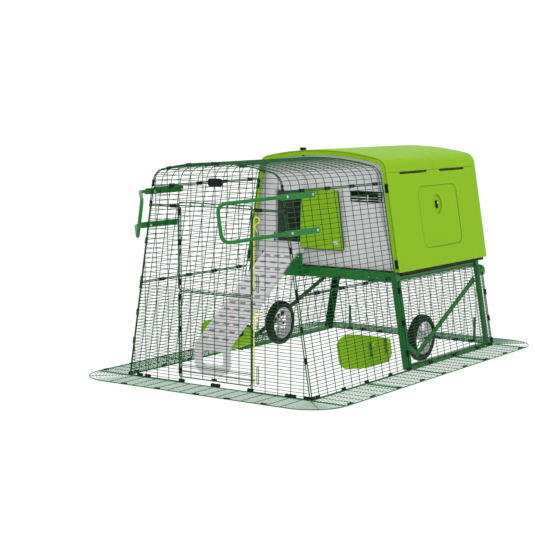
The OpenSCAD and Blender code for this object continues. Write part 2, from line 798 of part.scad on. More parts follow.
module door_lower() {
    color(steel_green) place() run_door(door_z0 + 3, door_seam_z - 4);
}

module door_upper() {
    color(steel_green) place() run_door(door_seam_z + 4, door_z1 - 3);
}

// A sliding latch rod with a bent finger loop at its top
module latch(z0, z1) {
    r = 16;
    color("#e1d75a") place() translate([latch_x, door_y, 0]) {
        translate([0, 0, z0]) cylinder(h = z1 - r - z0, d = latch_d);
        translate([r, 0, z1 - r]) rotate([90, 0, 0]) rotate(-90)
            rotate_extrude(angle = 270) translate([r, 0]) circle(d = latch_d);
        rod([r, 0, z1 - 2 * r], [0, 0, z1 - 2.9 * r], latch_d);
        rod([2, 0, z1 - 2.8 * r], [r + 4, 0, z1 - 4.4 * r], latch_d - 0.5);
    }
}

module latch_lower() { latch(door_z0 + 4, 408); }
module latch_upper() { latch(door_seam_z + 8, 862); }

under_s1 = 474;

module under_panel(side) {
    color(steel_green) place() on_wall(side)
        mesh_yz(house_y0 + 8, rear_panel_y - 8, 5, under_s1,
                [for (y = [1050 : 150 : 1850]) y], [100, 200, 300, 390]);
}

module under_panel_rear() {
    z1 = 466;
    cut = 12;
    y = rear_panel_y;
    color(steel_green) place() {
        for (z = [5, z1]) rod([-wall_x(z) + cut, y, z], [wall_x(z) - cut, y, z], rod_d);
        for (s = [-1, 1]) rod([s * (wall_x(5) - cut), y, 5], [s * (wall_x(z1) - cut), y, z1], rod_d - 1);
        for (x = [-450 : 150 : 450]) wire([x, y, 5], [x, y, z1], wire_d);
        for (z = [100 : 100 : 400]) wire([-wall_x(z) + cut, y, z], [wall_x(z) - cut, y, z], wire_d - 0.6);
    }
}

/* ---------- skirt ---------- */

module skirt_side(side) {
    x0 = run_half_w + 10;
    x1 = skirt_out_x;
    y0 = skirt_y0 + 6.5;
    y1 = skirt_y1 - 6.5;
    color(steel_green) place() mirrored(side) translate([0, 0, rod_d / 2]) {
        for (x = [x0, x1]) rod([x, y0 - 3, 0], [x, y1 + 3, 0], rod_d);
        for (y = [y0, y1]) rod([x0, y, 0], [x1, y, 0], rod_d - 1);
        for (y = [150 : 150 : y1 - 60]) wire([x0, y, 0], [x1, y, 0], wire_d);
        for (x = [x0 + 50, x0 + 100, x0 + 150]) wire([x, y0, 0], [x, y1, 0], wire_d - 0.6);
    }
}

// A skirt strip across one end, with a quarter circle of mesh at each corner
module skirt_end(y_in, dir) {
    x1 = skirt_out_x - skirt_r;
    r_in = skirt_w - skirt_r;
    color(steel_green) place() translate([0, y_in, rod_d / 2]) mirror([0, dir < 0 ? 1 : 0, 0]) {
        rod([-skirt_out_x - 2.5, 0, 0], [skirt_out_x + 2.5, 0, 0], rod_d);
        rod([-x1 - 0.2, skirt_w - 4, 0], [x1 + 0.2, skirt_w - 4, 0], rod_d);
        for (s = [-1, 1]) mirrored(s) translate([x1, skirt_w - 4 - skirt_r, 0]) {
            translate([0, 0, -2.5]) linear_extrude(5) arc_band(skirt_r, 5, -1, 91);
            for (a = [22.5, 45, 67.5])
                wire([40 * cos(a), 6 + 36 * sin(a), 0], [skirt_r * cos(a), skirt_r * sin(a), 0], wire_d);
        }
        for (x = [-450 : 150 : 450]) wire([x, 0, 0], [x, skirt_w - 4, 0], wire_d);
        for (y = [50, 100, 150]) wire([-x1 - 60, y, 0], [x1 + 60, y, 0], wire_d - 0.6);
    }
}

module skirt_front() { skirt_end(skirt_y0, -1); }
module skirt_rear() { skirt_end(skirt_y1, 1); }

/* ---------- clips and handles ---------- */

// A snap clip over two parallel rods that run along Y, its outside facing +X
module clip(len, pitch) {
    translate([0, -len / 2, 0]) difference() {
        translate([1.9, 0, -pitch / 2 - 5]) cube([5, len, pitch + 10]);
        for (s = [-1, 1]) translate([0, -1, s * pitch / 2]) rotate([-90, 0, 0])
            cylinder(h = len + 2, d = rod_d + 0.8);
    }
}

hinge_clip_z = [64, 275, 438, 516, 715, 868];

// A hinge clip: it grips the panel's rod and the door's rod turns in it
module hinge_clip(z) {
    door_rod_x = -door_half_w + 3;
    translate([0, 0, z - 12]) difference() {
        translate([door_rod_x - 5, door_y - 5, 0]) cube([18, 18, 24]);
        translate([door_rod_x, door_y, -1]) cylinder(h = 26, r = (rod_d - 1) / 2 + pin_play);
        translate([-front_in_x, 0, -1]) cylinder(h = 26, r = (rod_d - 1) / 2 + gap);
    }
}

module panel_clips() {
    pitch = rod_d + 1.5;
    color(near_black) place() {
        for (side = [-1, 1]) on_wall(side) {
            for (y = [174, 401, 626, 853]) translate([0, y, panel_h]) clip(30, pitch);
            for (y = [160, 390, 620, 850]) translate([0, y, 2 * panel_h]) clip(30, pitch);
        }
        for (side = [-1, 1]) mirrored(side)
            translate([260, 0, front_z]) rotate([0, 0, -90]) clip(30, 7);
        for (z = hinge_clip_z) hinge_clip(z);
    }
}

handle_s = [801, 976];
bolt_y = [18.5, 239];

// Two flat bars bolted to the wall, and a bent tube that joins them in front
module handle(side) {
    color(steel_green) place() difference() {
        union() {
            on_wall(side) for (s = handle_s) translate([rod_d / 2 + 2, -40, s - 15]) cube([5, 304, 30]);
            mirrored(side) {
                for (s = handle_s) {
                    rod(handle_root(s), handle_bend(s), 18);
                    rod(handle_bend(s), handle_end(s), 18);
                    for (p = [handle_bend(s), handle_end(s)]) translate(p) sphere(d = 21);
                }
                rod(handle_end(handle_s[0]), handle_end(handle_s[1]), 18);
            }
        }
        on_wall(side) for (s = handle_s) for (y = bolt_y) translate([-10, y, s]) rotate([0, 90, 0])
            cylinder(h = 40, r = 3.5);
    }
}

function wall_point(out, y, s) =
    [run_half_w - s * lean_sin + out * lean_cos, y, s * lean_cos + out * lean_sin];
function handle_root(s) = wall_point(rod_d / 2 + 4.5, -34, s);
function handle_bend(s) = handle_root(s) + [0, -45, 0];
function handle_end(s) = handle_bend(s) + [-184, -206, s < 900 ? -35 : -26];

module handle_bolts() {
    color("#c9ccca") place() for (side = [-1, 1]) on_wall(side)
        for (s = handle_s) for (y = bolt_y) translate([-9, y, s]) rotate([0, 90, 0]) {
            cylinder(h = 20, r = 3.2);
            translate([0, 0, rod_d / 2 + 2 + 5 + 9]) cylinder(h = 4, r = 7);
            translate([0, 0, -1]) cylinder(h = 4, r = 7);
        }
}

/* ---------- feeding ---------- */

trough_y0 = 556;
trough_y1 = 818;
trough_back = -13;       // its back face, measured out from the mesh wall
trough_d = 165;

// The section of a trough across its length, t inside its outer face
module trough_section(t) {
    inner = trough_back - trough_d;
    translate([inner + t, 125]) square([trough_d - 2 * t, 60]);
    translate([inner + 50, 75 + t]) square([trough_d - 50 - t, 60]);
    translate([inner + 50, 125]) circle(50 - t, $fn = 64);
    intersection() {
        translate([inner + trough_d / 2, 155]) circle(97 - t, $fn = 96);
        translate([inner + t, 184]) square([trough_d - 2 * t, 70]);
    }
}

// A trough body with a hood that slopes down to the rear
module trough_body(t) {
    intersection() {
        along_y(trough_y0 + t, trough_y1 - t) trough_section(t);
        along_x(-big / 4, big / 4)
            polygon([[trough_y0, 60], [trough_y1 - 50, 60], [trough_y1 - 44, 75 + t], [trough_y1 - t, 112],
                     [trough_y1 - t, 190 - t], [trough_y0, 252 - t]]);
    }
}

// A covered trough with its mouth on the inside, hung on two hooks from the mesh wall
module trough(side) {
    color(leaf_green) place() on_wall(side) difference() {
        trough_body(0);
        trough_body(4);
        translate([trough_back - trough_d - 5, trough_y0 + 26, 158]) cube([62, 150, 42]);
    }
    color(steel_green) place() on_wall(side) for (y = [612.5, 762.5]) {
        translate([trough_back - 1, y - 9, 128]) cube([4, 18, 64]);
        translate([trough_back + 2, y - 9, 189]) cube([17, 18, 3]);
        translate([3, y - 9, 180]) cube([3, 18, 12]);
    }
}

module feeder() { trough(1); }
module drinker() { trough(-1); }

module badge() {
    color(near_black) place() translate([3, -1.8, 1020]) rotate([90, 0, 0]) linear_extrude(3)
        round_rect(-46, 46, -20, 20, 18);
}

leg_front(-1);  // leg_front_left
leg_front(1);  // leg_front_right
leg_rear(-1);  // leg_rear_left
leg_rear(1);  // leg_rear_right
top_rails();
front_beam();
rear_beam();
ground_rails();
ladder_bracket();
house_floor();
front_wall();
side_shell(-1);  // side_shell_left
side_shell(1);  // side_shell_right
side_liners();
rear_wall();
roof_lid();
roof_knob();
pop_door();
pop_rod();
egg_door();
egg_knob();
rear_door();
rear_knob();
vent_grille();
roosting_bars();
nest_box();
tray(-1);  // tray_left
tray(1);  // tray_right
ladder();
wheel_lever(-1);  // wheel_lever_left
wheel_lever(1);  // wheel_lever_right
tyre(-1);  // tyre_left
tyre(1);  // tyre_right
hub(-1);  // hub_left
hub(1);  // hub_right
side_panel(-1, 0);  // side_lower_left
side_panel(1, 0);  // side_lower_right
side_panel(-1, panel_h);  // side_upper_left
side_panel(1, panel_h);  // side_upper_right
run_roof();
front_panels();
front_arch();
door_lower();
door_upper();
latch_lower();
latch_upper();
under_panel(-1);  // under_panel_left
under_panel(1);  // under_panel_right
under_panel_rear();
skirt_side(-1);  // skirt_left
skirt_side(1);  // skirt_right
skirt_front();
skirt_rear();
panel_clips();
handle(-1);  // handle_left
handle(1);  // handle_right
handle_bolts();
feeder();
drinker();
badge();
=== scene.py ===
"""Looks for the chicken coop: full wire mesh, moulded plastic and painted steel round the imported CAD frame."""
import json
import math

import bpy
import bmesh
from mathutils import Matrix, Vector


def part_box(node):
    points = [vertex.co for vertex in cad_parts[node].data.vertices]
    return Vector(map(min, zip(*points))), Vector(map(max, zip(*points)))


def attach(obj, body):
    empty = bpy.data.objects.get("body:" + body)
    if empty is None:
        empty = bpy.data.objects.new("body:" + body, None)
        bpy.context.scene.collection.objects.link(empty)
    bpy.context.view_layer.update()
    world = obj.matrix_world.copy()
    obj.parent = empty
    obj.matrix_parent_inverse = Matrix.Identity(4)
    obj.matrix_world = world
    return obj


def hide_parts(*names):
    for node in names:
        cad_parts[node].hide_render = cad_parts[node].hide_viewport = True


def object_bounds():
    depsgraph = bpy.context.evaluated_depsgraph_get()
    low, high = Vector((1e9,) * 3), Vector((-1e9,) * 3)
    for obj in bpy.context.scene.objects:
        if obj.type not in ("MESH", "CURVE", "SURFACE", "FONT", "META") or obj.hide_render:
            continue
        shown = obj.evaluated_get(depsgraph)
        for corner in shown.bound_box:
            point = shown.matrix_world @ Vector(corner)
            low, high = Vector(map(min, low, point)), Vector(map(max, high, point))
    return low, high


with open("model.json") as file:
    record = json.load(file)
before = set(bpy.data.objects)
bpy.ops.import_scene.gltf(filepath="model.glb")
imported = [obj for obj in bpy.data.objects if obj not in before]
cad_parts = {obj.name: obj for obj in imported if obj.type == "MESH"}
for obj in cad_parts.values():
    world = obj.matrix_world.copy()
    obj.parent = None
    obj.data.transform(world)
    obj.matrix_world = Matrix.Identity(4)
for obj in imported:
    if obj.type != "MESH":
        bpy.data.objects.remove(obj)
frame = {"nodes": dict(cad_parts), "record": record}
CAD_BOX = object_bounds()
NODES = frame["nodes"]
BODY_OF = {n: b for b, members in frame["record"]["behaviour"]["bodies"].items() for n in members}
MM = 0.001

# ---------------------------------------------------------------- places taken from the frame
FRONT_Y = sum(p.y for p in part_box("front_arch")) / 2
HOUSE_Y0, HOUSE_Y1 = (p.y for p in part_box("roof_lid"))
SEAM_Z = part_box("roof_lid")[0].z
RIDGE_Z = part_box("roof_lid")[1].z
RUN_PEAK_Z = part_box("front_arch")[1].z - 2.5 * MM
RUN_Y0, RUN_Y1 = (p.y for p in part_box("side_lower_right"))
UNDER_Y0, UNDER_Y1 = (p.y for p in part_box("under_panel_right"))

# the wall of the run: half width on the ground, lean, and the arcs of its roof
HALF_W = 565 * MM
LEAN = math.radians(9.53)
PANEL_H = 500 * MM
SHOULDER_R = 85 * MM
CROWN_R = 1517 * MM
HOUSE_HALF_W = 498 * MM
HOUSE_Z0 = 515 * MM
HOUSE_LEAN = math.atan2(86, 525)
HOUSE_SHOULDER_R = 70 * MM
HOUSE_CROWN_R = 1686 * MM

ROD = 6 * MM
WIRE = 3.8 * MM
FINE_WIRE = 3.1 * MM
PITCH = 75 * MM


def y_at(mm):
    """Depth of a point given in millimetres behind the front of the run."""
    return FRONT_Y + mm * MM


def wall_x(z):
    return HALF_W - z * math.tan(LEAN)


class Arch:
    """A leaning wall, a shoulder and a crown: the line of the run's roof or of the house."""

    def __init__(self, foot_x, foot_z, lean, shoulder_r, crown_r, peak_z):
        self.foot = Vector((foot_x, foot_z))
        self.lean, self.r, self.big_r = lean, shoulder_r, crown_r
        self.crown_z = peak_z - crown_r
        a = foot_x - shoulder_r * math.cos(lean)
        b = foot_z - shoulder_r * math.sin(lean) - self.crown_z
        p = b * math.cos(lean) - a * math.sin(lean)
        self.straight = -p + math.sqrt(p * p - a * a - b * b + (crown_r - shoulder_r) ** 2)
        self.centre = Vector((a - self.straight * math.sin(lean),
                              b + self.crown_z + self.straight * math.cos(lean)))
        self.half = math.atan2(self.centre.x, self.centre.y - self.crown_z)
        self.bend = shoulder_r * (math.pi / 2 - self.half - lean)
        self.length = self.straight + self.bend + crown_r * self.half

    def at(self, s):
        """The point (x, z) and outward normal at length s up from the foot, to the middle of the roof."""
        if s <= self.straight:
            n = Vector((math.cos(self.lean), math.sin(self.lean)))
            return self.foot + Vector((-math.sin(self.lean), math.cos(self.lean))) * s, n
        if s <= self.straight + self.bend:
            a = self.lean + (s - self.straight) / self.r
            n = Vector((math.cos(a), math.sin(a)))
            return self.centre + n * self.r, n
        a = self.half - (s - self.straight - self.bend) / self.big_r
        n = Vector((math.sin(a), math.cos(a)))
        return Vector((0, self.crown_z)) + n * self.big_r, n

    def line(self, s0, step=0.012, inset=0.0):
        """Points and normals from length s0 on the right, over the top, to the same place on the left."""
        stops = [s0]
        for a, b, n in ((s0, self.straight, 1), (self.straight, self.straight + self.bend, 12),
                        (self.straight + self.bend, self.length, 16)):
            if b > a:
                stops += [a + (b - a) * (i + 1) / n for i in range(n)]
        right = [self.at(s) for s in stops]
        left = [(Vector((-p.x, p.y)), Vector((-n.x, n.y))) for p, n in reversed(right[:-1])]
        return [(p - n * inset, n) for p, n in right + left]


RUN = Arch(HALF_W, 0, LEAN, SHOULDER_R, CROWN_R, RUN_PEAK_Z)
HOUSE = Arch(HOUSE_HALF_W, HOUSE_Z0, HOUSE_LEAN, HOUSE_SHOULDER_R, HOUSE_CROWN_R, RIDGE_Z)


# ---------------------------------------------------------------- mesh helpers
class Shape:
    """Gathers vertices and faces for one piece."""

    def __init__(self):
        self.verts, self.faces = [], []

    def tube(self, points, radius, sides=6, closed=False):
        """A round wire along the points."""
        points = [Vector(p) for p in points]
        n = len(points)
        start = len(self.verts)
        side = None
        for i, p in enumerate(points):
            before = points[i - 1] if i or closed else p
            after = points[(i + 1) % n] if i < n - 1 or closed else p
            along = (after - before).normalized()
            if side is None:
                side = along.orthogonal().normalized()
            side = (side - along * side.dot(along)).normalized()
            other = along.cross(side)
            for k in range(sides):
                a = 2 * math.pi * k / sides
                self.verts.append(p + (side * math.cos(a) + other * math.sin(a)) * radius)
        for i in range(n if closed else n - 1):
            for k in range(sides):
                a = start + i * sides
                b = start + ((i + 1) % n) * sides
                m = (k + 1) % sides
                self.faces.append((a + k, a + m, b + m, b + k))
        if not closed:
            self.faces.append(tuple(start + k for k in reversed(range(sides))))
            self.faces.append(tuple(start + (n - 1) * sides + k for k in range(sides)))

    def grid(self, rows, close_rows=False, close_cols=False):
        """Faces over a grid of points."""
        start, w, h = len(self.verts), len(rows[0]), len(rows)
        for row in rows:
            self.verts += [Vector(p) for p in row]
        for i in range(h if close_rows else h - 1):
            for j in range(w if close_cols else w - 1):
                a, b = start + i * w, start + ((i + 1) % h) * w
                m = (j + 1) % w
                self.faces.append((a + j, a + m, b + m, b + j))
        return start

    def piece(self, name, body, material, smooth=40, replaces=(), slot=None):
        mesh = bpy.data.meshes.new(name)
        mesh.from_pydata([tuple(v) for v in self.verts], [], self.faces)
        mesh.update()
        bm = bmesh.new()
        bm.from_mesh(mesh)
        bmesh.ops.recalc_face_normals(bm, faces=bm.faces)
        bm.to_mesh(mesh)
        bm.free()
        obj = bpy.data.objects.new(name, mesh)
        bpy.context.scene.collection.objects.link(obj)
        mesh.materials.append(material)
        shade(obj, smooth)
        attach(obj, body)
        if replaces:
            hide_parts(*replaces)
        return obj


def shade(obj, angle):
    """Smooth shading with edges sharper than the angle kept."""
    mesh = obj.data
    mesh.polygons.foreach_set("use_smooth", [True] * len(mesh.polygons))
    mesh.set_sharp_from_angle(angle=math.radians(angle))


# ---------------------------------------------------------------- materials
def colour(r, g, b):
    """An sRGB colour, 0 to 255, as linear light."""
    def lin(c):
        c /= 255
        return c / 12.92 if c <= 0.04045 else ((c + 0.055) / 1.055) ** 2.4
    return (lin(r), lin(g), lin(b), 1)


def material(name, base, rough, vary=0.06, patch=6, grain=900, bump=0.04, metal=0.0, shine=0.3, spread=0.08):
    """A surface with patchy colour and roughness and a fine grain."""
    mat = bpy.data.materials.new(name)
    mat.use_nodes = True
    nt = mat.node_tree
    bsdf = nt.nodes["Principled BSDF"]
    bsdf.inputs["Metallic"].default_value = metal
    bsdf.inputs["Specular IOR Level"].default_value = shine
    coords = nt.nodes.new("ShaderNodeTexCoord")

    def noise(scale, detail):
        n = nt.nodes.new("ShaderNodeTexNoise")
        n.inputs["Scale"].default_value = scale
        n.inputs["Detail"].default_value = detail
        nt.links.new(coords.outputs["Object"], n.inputs["Vector"])
        return n

    broad = noise(patch, 4)
    mix = nt.nodes.new("ShaderNodeMix")
    mix.data_type = "RGBA"
    mix.inputs["A"].default_value = tuple(c * (1 - vary) for c in base[:3]) + (1,)
    mix.inputs["B"].default_value = tuple(min(1, c * (1 + vary)) for c in base[:3]) + (1,)
    nt.links.new(broad.outputs["Fac"], mix.inputs["Factor"])
    nt.links.new(mix.outputs["Result"], bsdf.inputs["Base Color"])
    speck = noise(patch * 9, 5)
    span = nt.nodes.new("ShaderNodeMapRange")
    span.inputs["From Min"].default_value = 0.3
    span.inputs["From Max"].default_value = 0.7
    span.inputs["To Min"].default_value = max(0.02, rough - spread)
    span.inputs["To Max"].default_value = min(1, rough + spread)
    nt.links.new(speck.outputs["Fac"], span.inputs["Value"])
    nt.links.new(span.outputs["Result"], bsdf.inputs["Roughness"])
    fine = noise(grain, 3)
    bumper = nt.nodes.new("ShaderNodeBump")
    bumper.inputs["Strength"].default_value = bump
    bumper.inputs["Distance"].default_value = 0.001
    nt.links.new(fine.outputs["Fac"], bumper.inputs["Height"])
    nt.links.new(bumper.outputs["Normal"], bsdf.inputs["Normal"])
    return mat


M = {
    "mesh": material("mesh_green", colour(14, 88, 38), 0.42, vary=0.12, patch=18, bump=0.1, shine=0.12),
    "steel": material("steel_green", colour(24, 114, 42), 0.36, vary=0.1, patch=10, bump=0.12, shine=0.2),
    "leaf": material("leaf_plastic", colour(132, 182, 24), 0.45, vary=0.03, patch=3, bump=0.05, shine=0.04),
    "grey": material("grey_plastic", colour(214, 210, 216), 0.5, vary=0.03, patch=4, bump=0.06, shine=0.15),
    "black": material("black_plastic", colour(6, 18, 20), 0.4, vary=0.1, patch=30, bump=0.1, shine=0.15),
    # near-black for the inside of the house: painted shade of the unlit inside, also used for the painted shadow
    # strip under the house
    "inner": material("inner_plastic", colour(26, 33, 28), 0.55, vary=0.08, patch=8, bump=0.1, shine=0.1),
    # a darker copy of the steel paint: painted shade for the parts on the shaded left side
    "steel_painted_shade": material("steel_painted_shade", colour(16, 60, 28), 0.45, vary=0.1, patch=10, bump=0.12, shine=0.1),
    "skirt": material("skirt_green", colour(40, 118, 70), 0.42, vary=0.12, patch=18, bump=0.1, shine=0.2),
    "tyre": material("tyre_rubber", colour(22, 22, 23), 0.7, vary=0.15, patch=20, bump=0.3),
    "yellow": material("yellow_coat", colour(224, 212, 84), 0.35, vary=0.05, patch=30, bump=0.05),
    # near-black: the house gasket, and also the painted shade in the side vents and bolt holes and the painted shadow
    # line at the pop door
    "gasket": material("gasket", colour(14, 20, 18), 0.6, vary=0.1, patch=30, bump=0.05),
    "seam": material("seam_shadow", colour(84, 128, 14), 0.5, vary=0.05, patch=30, bump=0.05),
    # darker than the wall grey: painted shade for a shallow channel in the front wall
    "channel_shade": material("wall_channel_shade", colour(180, 176, 182), 0.6, vary=0.03, patch=10, bump=0.05),
    # darker grey: painted shade for the slots of the ladder
    "slot_painted_shade": material("slot_painted_shade", colour(120, 122, 128), 0.6, vary=0.05, patch=20, bump=0.05),
    "zinc": material("zinc", colour(205, 206, 204), 0.3, vary=0.08, patch=60, bump=0.08, metal=0.8),
}
SLOT_OF = {s["node"]: s["material_slot"] for s in frame["record"]["subparts"]}
SLOT_MATERIAL = {
    "painted_steel": "steel", "coated_mesh": "mesh", "green_plastic": "leaf", "grey_plastic": "grey",
    "black_plastic": "black", "dark_inner_plastic": "inner", "tyre_rubber": "tyre",
    "yellow_steel": "yellow", "zinc_steel": "zinc",
}
for node_name, node_obj in NODES.items():
    node_obj.data.materials.clear()
    node_obj.data.materials.append(M[SLOT_MATERIAL[SLOT_OF[node_name]]])
# painted shade: the left legs, left wheel lever and left under panel take the darker copy of the steel paint, as that
# side lies in shade
for node_name in ("leg_front_left", "leg_rear_left", "wheel_lever_left", "under_panel_left"):
    NODES[node_name].data.materials[0] = M["steel_painted_shade"]


# ---------------------------------------------------------------- wire mesh
FINE_ROW = PITCH / 4.5
COARSE_ROW = PITCH / 3


def steps(lo, hi, pitch, margin=3 * MM):
    """Multiples of the pitch strictly between lo and hi."""
    first = math.ceil((lo + margin) / pitch)
    last = math.floor((hi - margin) / pitch)
    return [k * pitch for k in range(first, last + 1)]


def levels(lo, hi):
    """Heights of the level wires: close together low down, wider apart above the knee."""
    return [z for z in steps(lo, hi, FINE_ROW) if z < PANEL_H] + [z for z in steps(lo, hi, COARSE_ROW) if z > PANEL_H]


def rounded_loop(corners, r, n=5):
    """A closed outline through the corners, each rounded with radius r."""
    out = []
    count = len(corners)
    for i, c in enumerate(corners):
        c = Vector(c)
        a = (Vector(corners[i - 1]) - c).normalized()
        b = (Vector(corners[(i + 1) % count]) - c).normalized()
        reach = r / math.tan(a.angle(b) / 2)
        p, q = c + a * reach, c + b * reach
        for k in range(n + 1):
            t = k / n
            out.append(p * (1 - t) ** 2 + c * 2 * t * (1 - t) + q * t * t)
    return out


def chord(outline, axis, value):
    """Where the line at one coordinate crosses a convex outline: the low and high ends of the other one."""
    hits = []
    for a, b in zip(outline, outline[1:] + outline[:1]):
        if a[axis] != b[axis] and (a[axis] - value) * (b[axis] - value) <= 0:
            t = (value - a[axis]) / (b[axis] - a[axis])
            hits.append(a[1 - axis] + (b[1 - axis] - a[1 - axis]) * t)
    return min(hits), max(hits)


def panel(shape, at, corners, uprights, rows, r=10 * MM, rod=ROD, upright_d=WIRE, row_d=FINE_WIRE):
    """A flat mesh panel: at(u, v, out) places a point, uprights stand at u, rows lie at v."""
    outline = [tuple(c) for c in corners]
    shape.tube([at(u, v, 0) for u, v in rounded_loop([(u, v) for u, v in corners], r)], rod / 2, 10, closed=True)
    for u in uprights:
        lo, hi = chord(outline, 0, u)
        shape.tube([at(u, lo, 1.1 * MM), at(u, hi, 1.1 * MM)], upright_d / 2)
    for v in rows:
        lo, hi = chord(outline, 1, v)
        shape.tube([at(lo, v, -1.3 * MM), at(hi, v, -1.3 * MM)], row_d / 2)


def on_wall(side):
    """Places points on the leaning wall: u along it, v up the slant, out from it."""
    def at(y, s, out):
        x = HALF_W - s * math.sin(LEAN) + out * math.cos(LEAN)
        return Vector((side * x, y, s * math.cos(LEAN) + out * math.sin(LEAN)))
    return at


def upright_at(y, side=1, front=-1):
    """Places points on an upright plane across the coop: u sideways, v up, out to the front or the rear."""
    def at(x, z, out):
        return Vector((side * x, y + front * out, z))
    return at


EDGE = ROD / 2 + 0.75 * MM
RUN_POSTS = [FRONT_Y + y for y in steps(0, RUN_Y1 - FRONT_Y, PITCH, 8 * MM)]
UNDER_POSTS = [FRONT_Y + y for y in steps(UNDER_Y0 - FRONT_Y, UNDER_Y1 - FRONT_Y, PITCH, 8 * MM)]
RUN_END0, RUN_END1 = RUN_Y0 + ROD / 2, RUN_Y1 - ROD / 2
UNDER_END0, UNDER_END1 = UNDER_Y0 + ROD / 2, UNDER_Y1 - ROD / 2
UNDER_TOP = 474 * MM


def box_corners(u0, u1, v0, v1):
    return [(u0, v0), (u1, v0), (u1, v1), (u0, v1)]


for side, word in ((-1, "left"), (1, "right")):
    at = on_wall(side)
    lower = Shape()
    panel(lower, at, box_corners(RUN_END0, RUN_END1, EDGE, PANEL_H - EDGE), RUN_POSTS,
          steps(EDGE, PANEL_H - EDGE, FINE_ROW))
    lower.piece("mesh_side_lower_" + word, "root", M["mesh"], replaces=["side_lower_" + word], slot="coated_mesh")
    upper = Shape()
    panel(upper, at, box_corners(RUN_END0, RUN_END1, PANEL_H + EDGE, 2 * PANEL_H - EDGE), RUN_POSTS,
          steps(PANEL_H + EDGE, 2 * PANEL_H - EDGE, COARSE_ROW))
    upper.piece("mesh_side_upper_" + word, "root", M["mesh"], replaces=["side_upper_" + word], slot="coated_mesh")
    under = Shape()
    panel(under, at, box_corners(UNDER_END0, UNDER_END1, 5 * MM, UNDER_TOP), UNDER_POSTS,
          steps(5 * MM, UNDER_TOP, FINE_ROW))
    under.piece("mesh_under_" + word, "root", M["mesh"], replaces=["under_panel_" + word], slot="coated_mesh")

# the roof of the run: hoops from side to side and long wires
roof = Shape()
roof_s0 = 2 * PANEL_H + EDGE
for y in [RUN_END0, RUN_END1] + RUN_POSTS:
    end = y in (RUN_END0, RUN_END1)
    roof.tube([(p.x, y, p.y) for p, n in RUN.line(roof_s0)], ROD * 0.42 if end else WIRE / 2, 8 if end else 6)
for side in (-1, 1):
    foot = RUN.at(roof_s0)[0]
    roof.tube([(side * foot.x, RUN_Y0, foot.y), (side * foot.x, RUN_Y1, foot.y)], ROD / 2, 10)
    for k in range(1, 60):
        s = roof_s0 + k * COARSE_ROW
        if s < RUN.length - COARSE_ROW * 0.4:
            p, n = RUN.at(s)
            p = p - n * 1.2 * MM
            roof.tube([(side * p.x, RUN_END0, p.y), (side * p.x, RUN_END1, p.y)], FINE_WIRE / 2)
roof.piece("mesh_run_roof", "root", M["mesh"], replaces=["run_roof"], slot="coated_mesh")

# the front: a panel each side of the doors and the arched top
FRONT_TOP = 895 * MM
DOOR_HALF = 228 * MM
INNER_X = DOOR_HALF - 12 * MM
front = Shape()
z0, z1 = 5 * MM, FRONT_TOP - 3.5 * MM
for side in (-1, 1):
    corners = [(INNER_X, z0), (wall_x(z0) - 4 * MM, z0), (wall_x(z1) - 4 * MM, z1), (INNER_X, z1)]
    panel(front, upright_at(FRONT_Y, side), corners, steps(INNER_X, wall_x(z0) - 12 * MM, PITCH), levels(z0, z1))
front.piece("mesh_front_panels", "root", M["mesh"], replaces=["front_panels"], slot="coated_mesh")

arch = Shape()
z0 = FRONT_TOP + 3.5 * MM
arch_line = RUN.line(z0 / math.cos(LEAN))
arch.tube([(p.x, FRONT_Y, p.y) for p, n in arch_line], ROD * 0.42, 10)
arch.tube([(-wall_x(z0) - 3 * MM, FRONT_Y, z0), (wall_x(z0) + 3 * MM, FRONT_Y, z0)], ROD / 2, 10)
arch_outline = [(p.x, p.y) for p, n in arch_line]
at = upright_at(FRONT_Y)
for x in steps(-wall_x(z0), wall_x(z0), PITCH, 10 * MM):
    lo, hi = chord(arch_outline, 0, x)
    arch.tube([at(x, lo, 1.1 * MM), at(x, hi, 1.1 * MM)], WIRE / 2)
for z in steps(z0, RUN_PEAK_Z, COARSE_ROW, 9 * MM):
    lo, hi = chord(arch_outline, 1, z)
    arch.tube([at(lo, z, -1.3 * MM), at(hi, z, -1.3 * MM)], FINE_WIRE / 2)
arch.piece("mesh_front_arch", "root", M["mesh"], replaces=["front_arch"], slot="coated_mesh")

# the two doors, with wire eyes that guide the latch rods
DOOR_Y = FRONT_Y - 9 * MM
LATCH_X = DOOR_HALF + 12 * MM


def run_door(name, body, z0, z1, guides, strong):
    shape = Shape()
    half = DOOR_HALF - 3 * MM
    at = upright_at(DOOR_Y)
    panel(shape, at, box_corners(-half, half, z0, z1), steps(-half, half, PITCH), levels(z0, z1), r=20 * MM)
    for z in strong:
        shape.tube([at(-half, z, -1.6 * MM), at(half, z, -1.6 * MM)], WIRE * 0.62, 8)
    for z in guides:
        loop = [(half + (LATCH_X - half) * 0.2, z, 0)]
        eye = [Vector((LATCH_X + 5.6 * MM * math.cos(a), DOOR_Y + 5.6 * MM * math.sin(a), z))
               for a in (math.radians(-160 + 320 * k / 14) for k in range(15))]
        ends = [Vector((half, DOOR_Y - 1.5 * MM, z)), Vector((half, DOOR_Y + 1.5 * MM, z))]
        shape.tube([ends[0]] + eye + [ends[1]], 1.7 * MM, 8)
    return shape.piece("mesh_" + name, body, M["mesh"], replaces=[name], slot="coated_mesh")


LOWER_Z = (34 * MM, 467 * MM)
UPPER_Z = (475 * MM, 915 * MM)
run_door("door_lower", BODY_OF["door_lower"], *LOWER_Z, [65 * MM, 276 * MM], [62 * MM, 92 * MM])
run_door("door_upper", BODY_OF["door_upper"], *UPPER_Z, [506 * MM, 721 * MM], [])

